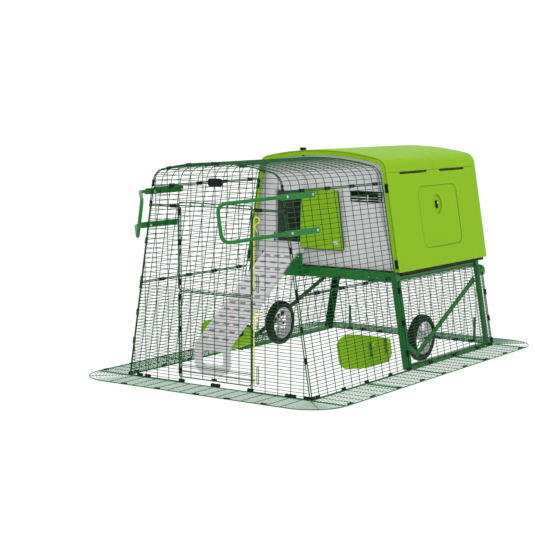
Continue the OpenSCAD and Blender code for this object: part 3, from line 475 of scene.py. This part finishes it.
# the mesh behind the stand
rear = Shape()
rear_y = sum(p.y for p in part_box("under_panel_rear")) / 2
z0, z1 = 5 * MM, 466 * MM
corners = [(-wall_x(z0) + 12 * MM, z0), (wall_x(z0) - 12 * MM, z0), (wall_x(z1) - 12 * MM, z1),
           (-wall_x(z1) + 12 * MM, z1)]
panel(rear, upright_at(rear_y, front=1), corners, steps(-wall_x(z1), wall_x(z1), PITCH, 16 * MM), levels(z0, z1))
rear.piece("mesh_under_rear", "root", M["mesh"], replaces=["under_panel_rear"], slot="coated_mesh")

# ---------------------------------------------------------------- skirt on the ground
SKIRT_W = 200 * MM
SKIRT_IN_X = HALF_W + 10 * MM
SKIRT_OUT_X = HALF_W + 202 * MM
SKIRT_Z = ROD / 2
SKIRT_Y0, SKIRT_Y1 = y_at(-8), y_at(1946)


def flat(x, y, out):
    return Vector((x, y, SKIRT_Z + out))


def skirt_pieces(name, shape):
    shape.piece("mesh_" + name, "root", M["skirt"], replaces=[name], slot="coated_mesh")


SKIRT_WIRE, SKIRT_FINE = 3.2 * MM, 2.6 * MM
for side, word in ((-1, "left"), (1, "right")):
    shape = Shape()
    edge = (SKIRT_Y0 + 6.5 * MM, SKIRT_Y1 - 6.5 * MM)

    def at(y, x, out, side=side):
        return flat(side * x, y, out)

    seams = [edge[0]] + [y_at(y) for y in (500, 970, 1457)] + [edge[1]]
    for a, b in zip(seams, seams[1:]):
        first, last = a + (a != edge[0]) * 4 * MM, b - (b != edge[1]) * 4 * MM
        panel(shape, at, box_corners(first, last, SKIRT_IN_X, SKIRT_OUT_X),
              [FRONT_Y + y for y in steps(first - FRONT_Y, last - FRONT_Y, PITCH, 8 * MM)],
              [SKIRT_IN_X + k * FINE_ROW for k in range(1, 12) if k * FINE_ROW < 188 * MM],
              r=6 * MM, upright_d=SKIRT_WIRE, row_d=SKIRT_FINE)
    skirt_pieces("skirt_" + word, shape)

for end_y, turn, name in ((SKIRT_Y0, -1, "skirt_front"), (SKIRT_Y1, 1, "skirt_rear")):
    shape = Shape()
    corner_x = SKIRT_OUT_X - SKIRT_W
    reach = SKIRT_W - 4 * MM

    def at(x, v, out, end_y=end_y, turn=turn):
        return flat(x, end_y + turn * v, out)

    shape.tube([at(-SKIRT_OUT_X, 0, 0), at(SKIRT_OUT_X, 0, 0)], ROD / 2, 10)
    for x in steps(-corner_x, corner_x, PITCH):
        shape.tube([at(x, 0, 1.1 * MM), at(x, reach, 1.1 * MM)], SKIRT_WIRE / 2)
    for k in range(1, 13):
        v = k * FINE_ROW if k < 12 else SKIRT_W
        line = [(-corner_x - v * math.cos(a), v * math.sin(a)) for a in
                (math.radians(d) for d in range(0, 91, 6))]
        line += [(-x, y) for x, y in reversed(line)]
        last = k == 12
        shape.tube([at(x, y * reach / SKIRT_W, 0 if last else -1.3 * MM) for x, y in line],
                   ROD * 0.42 if last else SKIRT_FINE / 2, 8 if last else 6)
    for side in (-1, 1):
        diagonal = [at(side * (corner_x + d * math.cos(math.radians(45))), d * math.sin(math.radians(45)), 1.2 * MM)
                    for d in (14 * MM, SKIRT_W - 3 * MM)]
        shape.tube(diagonal, ROD * 0.3, 8)
    skirt_pieces(name, shape)

# ---------------------------------------------------------------- clips
clips = Shape()


def clip(centre, along, out, length=38 * MM, wide=19 * MM, thick=15 * MM):
    """A moulded snap clip: a rounded block round two rods, waisted in the middle."""
    along, out = along.normalized(), out.normalized()
    across = along.cross(out)
    ring = []
    for k in range(16):
        a = 2 * math.pi * k / 16
        c, s = math.cos(a), math.sin(a)
        ring.append((wide / 2 * math.copysign(abs(c) ** 0.55, c), thick / 2 * math.copysign(abs(s) ** 0.55, s)))
    rows = []
    for t, f in ((-0.5, 0.72), (-0.46, 0.95), (-0.2, 1), (-0.14, 0.84), (0.14, 0.84), (0.2, 1), (0.46, 0.95),
                 (0.5, 0.72)):
        rows.append([centre + along * length * t + across * u * f + out * v * f for u, v in ring])
    start = clips.grid(rows, close_cols=True)
    clips.faces.append(tuple(range(start + 15, start - 1, -1)))
    clips.faces.append(tuple(start + 7 * 16 + k for k in range(16)))


Y = Vector((0, 1, 0))
X = Vector((1, 0, 0))
Z = Vector((0, 0, 1))
for side in (-1, 1):
    at = on_wall(side)
    normal = at(0, 0, 1) - at(0, 0, 0)
    up_wall = Vector((-side * math.sin(LEAN), 0, math.cos(LEAN)))
    for y in (174, 401, 626, 853):
        clip(at(y_at(y), PANEL_H, 1.5 * MM), Y, normal)
    for y in (160, 390, 620, 850):
        clip(at(y_at(y), 2 * PANEL_H, 1.5 * MM), Y, normal)
    for y in (14, 58, 292, 510, 747, 938, 1180, 1457, 1740, 1900):
        clip(at(y_at(y), 10 * MM, 3 * MM), Y, normal, length=32 * MM, thick=10 * MM)
    for z in (1005, 900, 710, 510, 478, 337, 188):
        clip(at(y_at(5), z * MM / math.cos(LEAN), -1 * MM), up_wall, -Y + normal * 0.6, length=32 * MM, wide=15 * MM)
    for z in (310, 158, 30):
        clip(at(UNDER_END1, z * MM / math.cos(LEAN), 0), up_wall, Y + normal * 0.6, length=32 * MM, wide=15 * MM)
    for z in (420, 250, 90):
        clip(at(UNDER_END0 - 5 * MM, z * MM / math.cos(LEAN), 0), up_wall, -Y + normal * 0.6, length=30 * MM)
    for x in (200, 320, 420):
        clip(Vector((side * x * MM, UNDER_END1 + 8 * MM, 10 * MM)), X, Y, length=30 * MM)
    house_at = Vector((-math.sin(HOUSE_LEAN) * side, 0, math.cos(HOUSE_LEAN)))
    for z in (959, 559):
        x = HOUSE_HALF_W - (z * MM - HOUSE_Z0) * math.tan(HOUSE_LEAN) - 10 * MM
        clip(Vector((side * x, HOUSE_Y0 - 2 * MM, z * MM)), house_at, -Y, length=48 * MM)
for x in (-292, -166, -9, 9, 158, 284):
    height = RUN.crown_z + math.sqrt(CROWN_R ** 2 - (x * MM) ** 2)
    clip(Vector((x * MM, y_at(5), height - 2 * MM)), X - Z * x * MM / CROWN_R, -Y + Z * 0.6,
         length=28 * MM, wide=14 * MM)
for x in (-490, -437, -214, 0, 213, 437, 464, 545):
    clip(Vector((x * MM, y_at(-3), 12 * MM)), X, -Y + Z * 0.5, length=(54 if x == 0 else 32) * MM)
for x in (-262, 262):
    clip(Vector((x * MM, y_at(-1), FRONT_TOP)), X, -Y)
for x in (-330, -110, 120, 330):
    clip(Vector((x * MM, y_at(940), 462 * MM)), X, -Y, length=30 * MM, wide=14 * MM)
for z in (64, 275, 438, 516, 715, 868):
    clip(Vector((-221 * MM, y_at(-5), z * MM)), Z, -Y, length=30 * MM, wide=19 * MM, thick=15 * MM)
for side in (-1, 1):
    for y in (40, 250, 500, 740, 970, 1210, 1457, 1700, 1900):
        clip(Vector((side * (HALF_W + 193 * MM), y_at(y), 5 * MM)), Y, Z, length=28 * MM, thick=9 * MM)
for x in (-430, -215, 30, 215, 430):
    clip(Vector((x * MM, SKIRT_Y0 - 190 * MM, 5 * MM)), X, Z, length=28 * MM, thick=9 * MM)
clips.piece("clips", "root", M["black"], replaces=["panel_clips"], slot="black_plastic")

# ---------------------------------------------------------------- handles
def rounded_path(points, radii, n=6):
    """An open line through the points, the inner ones rounded with their radii."""
    points = [Vector(p) for p in points]
    out = [points[0]]
    for before, c, after, r in zip(points, points[1:], points[2:], radii):
        a, b = (before - c).normalized(), (after - c).normalized()
        reach = r / math.tan(a.angle(b) / 2)
        p, q = c + a * reach, c + b * reach
        out += [p * (1 - k / n) ** 2 + c * 2 * (k / n) * (1 - k / n) + q * (k / n) ** 2 for k in range(n + 1)]
    return out + [points[-1]]


HANDLE_S = (801 * MM, 976 * MM)
BAR_OUT = (5 * MM, 10 * MM)
for side, word in ((-1, "left"), (1, "right")):
    at = on_wall(side)
    handle = Shape()
    roots = [at(y_at(-34), s, 7.5 * MM) for s in HANDLE_S]
    bends = [p - Y * 45 * MM for p in roots]
    ends = [p + Vector((-side * 184, -206, drop)) * MM for p, drop in zip(bends, (-35, -26))]
    tails = [at(y_at(-8), s, 7.5 * MM) for s in HANDLE_S]
    line = [tails[0], bends[0], ends[0], ends[1], bends[1], tails[1]]
    handle.tube(rounded_path(line, (30 * MM, 46 * MM, 46 * MM, 30 * MM), 8), 9 * MM, 14)
    for s in HANDLE_S:
        for out, flip in ((BAR_OUT[0], False), (BAR_OUT[1], True)):
            rim = rounded_loop([(y_at(-40), s - 15 * MM), (y_at(264), s - 15 * MM), (y_at(264), s + 15 * MM),
                                (y_at(-40), s + 15 * MM)], 7 * MM)
            if not flip:
                first = len(handle.verts)
            handle.verts += [at(u, v, out) for u, v in rim]
        count = len(rim)
        handle.faces.append(tuple(first + k for k in reversed(range(count))))
        handle.faces.append(tuple(first + count + k for k in range(count)))
        for k in range(count):
            m = (k + 1) % count
            handle.faces.append((first + k, first + m, first + count + m, first + count + k))
    handle.piece("handle_bar_" + word, "root", M["steel"], replaces=["handle_" + word], slot="painted_steel")


def disc(shape, centre, normal, r, thick, sides=20, squash=1.0, up=None):
    """A flat round or oval plug that stands on a surface."""
    normal = normal.normalized()
    u = (up - normal * up.dot(normal)).normalized() if up else normal.orthogonal().normalized()
    v = normal.cross(u)
    rows = []
    for f, h in ((1, 0), (1, 0.7), (0.9, 1)):
        rows.append([centre + (u * math.cos(a) * squash + v * math.sin(a)) * r * f + normal * thick * h
                     for a in (2 * math.pi * k / sides for k in range(sides))])
    start = shape.grid(rows, close_cols=True)
    shape.faces.append(tuple(start + k for k in reversed(range(sides))))
    shape.faces.append(tuple(start + 2 * sides + k for k in range(sides)))


# dark discs on the bolt holes of the handle bars: painted shade inside the holes
holes = Shape()
for side in (-1, 1):
    at = on_wall(side)
    normal = at(0, 0, 1) - at(0, 0, 0)
    for s in HANDLE_S:
        for y in (75, 190):
            disc(holes, at(y_at(y), s, BAR_OUT[1]), normal, 3.6 * MM, 0.3 * MM)
beam_holes = Shape()
for x in (-412, -360, -309, 309, 360, 412):
    disc(beam_holes, Vector((x * MM, HOUSE_Y0 + 3.4 * MM, 480 * MM)), -Y, 4 * MM, 0.3 * MM)

# ---------------------------------------------------------------- small fittings
fittings = Shape()
for z in (90, 300, 540, 750):
    x = (LATCH_X + 18 * MM)
    loop = [(x - 5 * MM, z - 43), (x + 5 * MM, z - 43), (x + 5 * MM, z + 43), (x - 5 * MM, z + 43)]
    line = rounded_loop([(u, v * MM) for u, v in loop], 5 * MM)
    fittings.tube([Vector((u, y_at(-4), v)) for u, v in line], 2.2 * MM, 8, closed=True)
fittings.tube([Vector((-316 * MM, y_at(966), 640 * MM)), Vector((-316 * MM, y_at(966), 690 * MM))], 5 * MM, 10)
fittings.piece("staples", "root", M["steel"], slot="painted_steel")

catch = Shape()
catch.tube([Vector((x * MM, y_at(-14), 42 * MM)) for x in (-14, 14)], 5 * MM, 8)
catch.piece("door_catch", BODY_OF["door_lower"], M["black"], slot="black_plastic")


def on_side(side):
    """Places points on the leaning side of the house: u along it, v up the slant, out from it."""
    def at(y, s, out):
        x = HOUSE_HALF_W - s * math.sin(HOUSE_LEAN) + out * math.cos(HOUSE_LEAN)
        return Vector((side * x, y, HOUSE_Z0 + s * math.cos(HOUSE_LEAN) + out * math.sin(HOUSE_LEAN)))
    return at


SIDE_S = (SEAM_Z - HOUSE_Z0) / math.cos(HOUSE_LEAN)
WALL_Y = HOUSE_Y0 + 30 * MM

gasket = Shape()
edge = [(p.x, HOUSE_Y0 + 2.5 * MM, p.y) for p, n in HOUSE.line(8 * MM, inset=7 * MM)]
gasket.tube(edge, 3 * MM, 6)
gasket.piece("house_gasket", "root", M["gasket"], slot="black_plastic")

# dark plates over the slots of the side vents: painted shade of the unlit inside seen through them
shadow = Shape()
for side in (-1, 1):
    at = on_side(side)
    for y0, y1 in ((1083, 1392), (1521, 1831)):
        a, b = y_at(y0), y_at(y1)
        corners = [(a, SIDE_S - 1 * MM), (b, SIDE_S - 1 * MM),
                   (b - 14 * MM, SIDE_S - 9 * MM), (a + 14 * MM, SIDE_S - 9 * MM)]
        first = len(shadow.verts)
        shadow.verts += [at(u, v, 0.4 * MM) for u, v in corners] + [at(u, v, -1 * MM) for u, v in corners]
        shadow.faces += [(first, first + 1, first + 2, first + 3), (first + 7, first + 6, first + 5, first + 4)]
        shadow.faces += [(first + k, first + (k + 1) % 4, first + 4 + (k + 1) % 4, first + 4 + k) for k in range(4)]
shadow.piece("side_vents", "root", M["gasket"], slot="black_plastic")
holes.piece("bolt_holes", "root", M["gasket"], slot="black_plastic")
beam_holes.piece("beam_holes", "root", M["grey"], slot="grey_plastic")

# a darker green line round the egg door: painted shade in the gap round it
seams = Shape()
egg_outline = rounded_loop([(y_at(1258), 106 * MM), (y_at(1700), 106 * MM), (y_at(1700), 445 * MM),
                            (y_at(1258), 445 * MM)], 55 * MM, 8)
seams.tube([on_side(1)(u, v, -0.4 * MM) for u, v in egg_outline], 1.4 * MM, 6, closed=True)
seams.piece("egg_door_seam", "root", M["seam"], slot="green_plastic")

# a darker green line across the roof: painted shade along the crease between its two facets
roof_seam = Shape()
roof_seam.tube([(p.x, y_at(1465), p.y) for p, n in HOUSE.line(SIDE_S + 4 * MM, inset=0.5 * MM)], 0.9 * MM, 6)
roof_seam.piece("roof_seam", "lid", M["seam"], slot="green_plastic")

label = Shape()
disc(label, Vector((92 * MM, y_at(956), 652 * MM)), -Y, 22 * MM, 0.6 * MM, 24, 0.42, Z)
label.piece("pop_door_label", BODY_OF["pop_door"], M["grey"], slot="grey_plastic")

# a darker strip on the front wall, painted shade standing in for a shallow channel, and pale louvres over the dark
# vent
def plate(shape, points, push):
    """A thin plate: the outline and the same outline moved by push."""
    first, count = len(shape.verts), len(points)
    shape.verts += [Vector(p) for p in points] + [Vector(p) + push for p in points]
    shape.faces += [tuple(range(first, first + count)), tuple(reversed(range(first + count, first + 2 * count)))]
    shape.faces += [(first + k, first + (k + 1) % count, first + count + (k + 1) % count, first + count + k)
                    for k in range(count)]


channel_shade = Shape()
outline = ((328, 1052), (365, 1052), (382, 833), (424, 617), (412, 617), (354, 833))
plate(channel_shade, [(x * MM, WALL_Y - 0.4 * MM, z * MM) for x, z in outline], Y * 0.3 * MM)
channel_shade.piece("wall_channel_shade", "root", M["channel_shade"], slot="grey_plastic")

louvres = Shape()
vent_lo, vent_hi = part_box("vent_grille")
wide, tall = vent_hi.x - vent_lo.x, vent_hi.z - vent_lo.z
for u0, u1, v0, v1 in ((0.04, 0.53, 0.40, 0.47), (0.04, 0.53, 0.13, 0.21),
                       (0.54, 0.57, 0.08, 0.66), (0.58, 0.92, 0.42, 0.45),
                       (0.58, 0.92, 0.17, 0.20)):
    corners = [(vent_lo.x + wide * u, vent_lo.y - 0.2 * MM, vent_lo.z + tall * v)
               for u, v in ((u0, v0), (u1, v0), (u1, v1), (u0, v1))]
    plate(louvres, corners, -Y * 0.4 * MM)
louvres.piece("vent_louvres", "root", M["grey"], slot="grey_plastic")

# a dark line along the pop door's bottom and right edge: painted shadow under and beside the door
pop_door_shadow_lines = Shape()
door_edge = [(-130, 611), (140, 611), (145, 616), (104, 938)]
pop_door_shadow_lines.tube([(x * MM, y_at(960), z * MM) for x, z in door_edge], 2.2 * MM, 6)
pop_door_shadow_lines.piece("pop_door_shadow", BODY_OF["pop_door"], M["gasket"], slot="black_plastic")

# a dark strip along the underside of each side of the house: painted shadow in the gap under the house
underside_shadow_band = Shape()
for side in (-1, 1):
    points = [(side * x * MM, HOUSE_Y0 + 34 * MM, z * MM)
              for x, z in ((482, 499), (494, 499), (492, 514), (480, 514))]
    plate(underside_shadow_band, points, Y * (HOUSE_Y1 - HOUSE_Y0 - 68 * MM))
underside_shadow_band.piece("house_underside_shadow", "root", M["inner"], slot="dark_inner_plastic")

# a pale metal disc on the black egg door knob: painted highlight on its lit facet
knob_highlight = Shape()
disc(knob_highlight, on_side(1)(y_at(1471), 346 * MM, -2.4 * MM), on_side(1)(0, 0, 1) - on_side(1)(0, 0, 0),
     8 * MM, 0.5 * MM, 6)
knob_highlight.piece("knob_painted_highlight", BODY_OF["egg_knob"], M["zinc"], slot="black_plastic")

for side, word in ((-1, "drinker"), (1, "feeder")):
    at = on_wall(side)
    normal = at(0, 0, 1) - at(0, 0, 0)
    hooks, hook_bolts = Shape(), Shape()
    for y in (612.5, 762.5):
        plate(hooks, [at(y_at(u), s * MM, -9.9 * MM) for u, s in
                      ((y - 10, 124), (y + 10, 124), (y + 10, 193), (y - 10, 193))], normal * 1.2 * MM)
        disc(hook_bolts, at(y_at(y), 152 * MM, -8.6 * MM), normal, 6 * MM, 2 * MM)
        hooks.tube([at(y_at(y - 9), 188 * MM, -3 * MM), at(y_at(y + 9), 188 * MM, -3 * MM)], 7.5 * MM, 10)
    hooks.piece("hooks_" + word, BODY_OF[word], M["steel"], slot="painted_steel")
    hook_bolts.piece("hook_bolts_" + word, BODY_OF[word], M["zinc"], slot="zinc_steel")

# a darker grey sheet under the ladder's slots: painted shade, so the slots read dark instead of open
sheet = Shape()
foot, top = Vector((256, 150)), Vector((898, 588))
climb = (top - foot).normalized()
lift = Vector((-climb.y, climb.x))
rows = []
for l in (13, 733):
    for h in (0.4, 3.8):
        q = foot + climb * l + lift * h
        rows.append([Vector((x * MM, y_at(q.x), q.y * MM)) for x in (-209 - 98.5, -209 + 98.5)])
first = len(sheet.verts)
sheet.verts += [p for row in rows for p in row]
for face in ((0, 1, 3, 2), (4, 6, 7, 5), (0, 4, 5, 1), (2, 3, 7, 6), (0, 2, 6, 4), (1, 5, 7, 3)):
    sheet.faces.append(tuple(first + k for k in face))
sheet.piece("ladder_slot_shade", BODY_OF["ladder"], M["slot_painted_shade"], slot="grey_plastic")

# ---------------------------------------------------------------- tyres with a tread
for side, word in ((-1, "left"), (1, "right")):
    lo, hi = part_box("tyre_" + word)
    centre = (lo + hi) / 2
    big_r, half = (hi.z - lo.z) / 2, (hi.x - lo.x) / 2
    section = [(-0.86, -37), (-1, -32), (-1, -13), (-0.72, -3), (-0.3, 0), (0.3, 0), (0.72, -3), (1, -13), (1, -32),
               (0.86, -37)]
    tyre = Shape()
    rows = []
    blocks = 48
    for k in range(blocks * 4):
        a = 2 * math.pi * k / (blocks * 4)
        low = 2.6 if k % 4 in (2, 3) else 0
        row = []
        for i, (u, d) in enumerate(section):
            drop = low if 2 < i < 7 else 0
            r = big_r + (d - drop) * MM
            row.append(Vector((centre.x + u * half, centre.y + r * math.cos(a), centre.z + r * math.sin(a))))
        rows.append(row)
    tyre.grid(rows, close_rows=True, close_cols=True)
    tyre.piece("tyre_tread_" + word, BODY_OF["tyre_" + word], M["tyre"],
               replaces=["tyre_" + word], slot="tyre_rubber")

# ---------------------------------------------------------------- bevels on the moulded and pressed parts
BEVELS = {
    "roof_lid": 2.0, "side_shell_left": 1.5, "side_shell_right": 1.5, "front_wall": 2.0, "rear_wall": 2.0,
    "egg_door": 3.0, "rear_door": 3.0, "pop_door": 2.0, "roof_knob": 2.0, "egg_knob": 2.0, "rear_knob": 2.0,
    "ladder": 1.5, "feeder": 4.0, "drinker": 4.0, "badge": 1.0, "vent_grille": 0.5, "house_floor": 1.5,
    "tray_left": 1.5, "tray_right": 1.5, "nest_box": 1.5, "hub_left": 0.8, "hub_right": 0.8,
    "leg_front_left": 0.6, "leg_front_right": 0.6, "leg_rear_left": 0.6, "leg_rear_right": 0.6,
    "top_rails": 0.6, "front_beam": 0.6, "rear_beam": 0.6, "wheel_lever_left": 0.8, "wheel_lever_right": 0.8,
}
for name, width in BEVELS.items():
    obj = NODES[name]
    shade(obj, 35)
    bevel = obj.modifiers.new("edge", "BEVEL")
    bevel.width = width * MM
    bevel.segments = 2
    bevel.limit_method = "ANGLE"
    bevel.angle_limit = math.radians(35)
    bevel.use_clamp_overlap = True
    bevel.harden_normals = True

# ---------------------------------------------------------------- floor, light and camera
floor_mesh = bpy.data.meshes.new("floor")
floor_mesh.from_pydata([(-30, -30, 0), (30, -30, 0), (30, 30, 0), (-30, 30, 0)], [], [(0, 1, 2, 3)])
floor = bpy.data.objects.new("floor", floor_mesh)
bpy.context.scene.collection.objects.link(floor)
floor_white = material("floor_white", (0.02, 0.02, 0.02, 1), 0.9, vary=0.01, patch=0.6, bump=0.02)
floor_shader = floor_white.node_tree.nodes["Principled BSDF"]
floor_shader.inputs["Emission Color"].default_value = (1, 1, 1, 1)
floor_shader.inputs["Emission Strength"].default_value = 1.0
floor_shader.inputs["Specular IOR Level"].default_value = 0.0
floor_mesh.materials.append(floor_white)
floor.location.z = CAD_BOX[0].z - 0.5 * MM

world = bpy.data.worlds.new("studio")
bpy.context.scene.world = world
world.use_nodes = True
world.node_tree.nodes["Background"].inputs["Color"].default_value = (1, 1, 1, 1)
world.node_tree.nodes["Background"].inputs["Strength"].default_value = 1.0


def area_light(name, place, target, size, power, tint=(1, 1, 1)):
    data = bpy.data.lights.new(name, "AREA")
    data.shape, data.size, data.energy, data.color = "SQUARE", size, power, tint
    obj = bpy.data.objects.new(name, data)
    bpy.context.scene.collection.objects.link(obj)
    obj.location = place
    obj.rotation_euler = (Vector(target) - Vector(place)).to_track_quat("-Z", "Y").to_euler()


area_light("key", (3.5, -5.0, 6.0), (0, 0, 0.5), 3.0, 110)
area_light("top", (0, 0.5, 6.0), (0, 0, 0.5), 5.0, 30)

view = bpy.context.scene.view_settings
view.view_transform = "Standard"
view.look = "None"

AZIMUTH, PITCH_DOWN = math.radians(35.08), math.radians(6.59)
back = Vector((math.sin(AZIMUTH) * math.cos(PITCH_DOWN), -math.cos(AZIMUTH) * math.cos(PITCH_DOWN),
               math.sin(PITCH_DOWN)))
camera_data = bpy.data.cameras.new("camera")
camera_data.lens = 95.37
camera_data.sensor_width = camera_data.sensor_height = 36
camera = bpy.data.objects.new("camera", camera_data)
bpy.context.scene.collection.objects.link(camera)
camera.location = (4.1946, FRONT_Y - 5.5266, 1.4025)
camera.rotation_euler = (-back).to_track_quat("-Z", "Y").to_euler()
bpy.context.scene.camera = camera
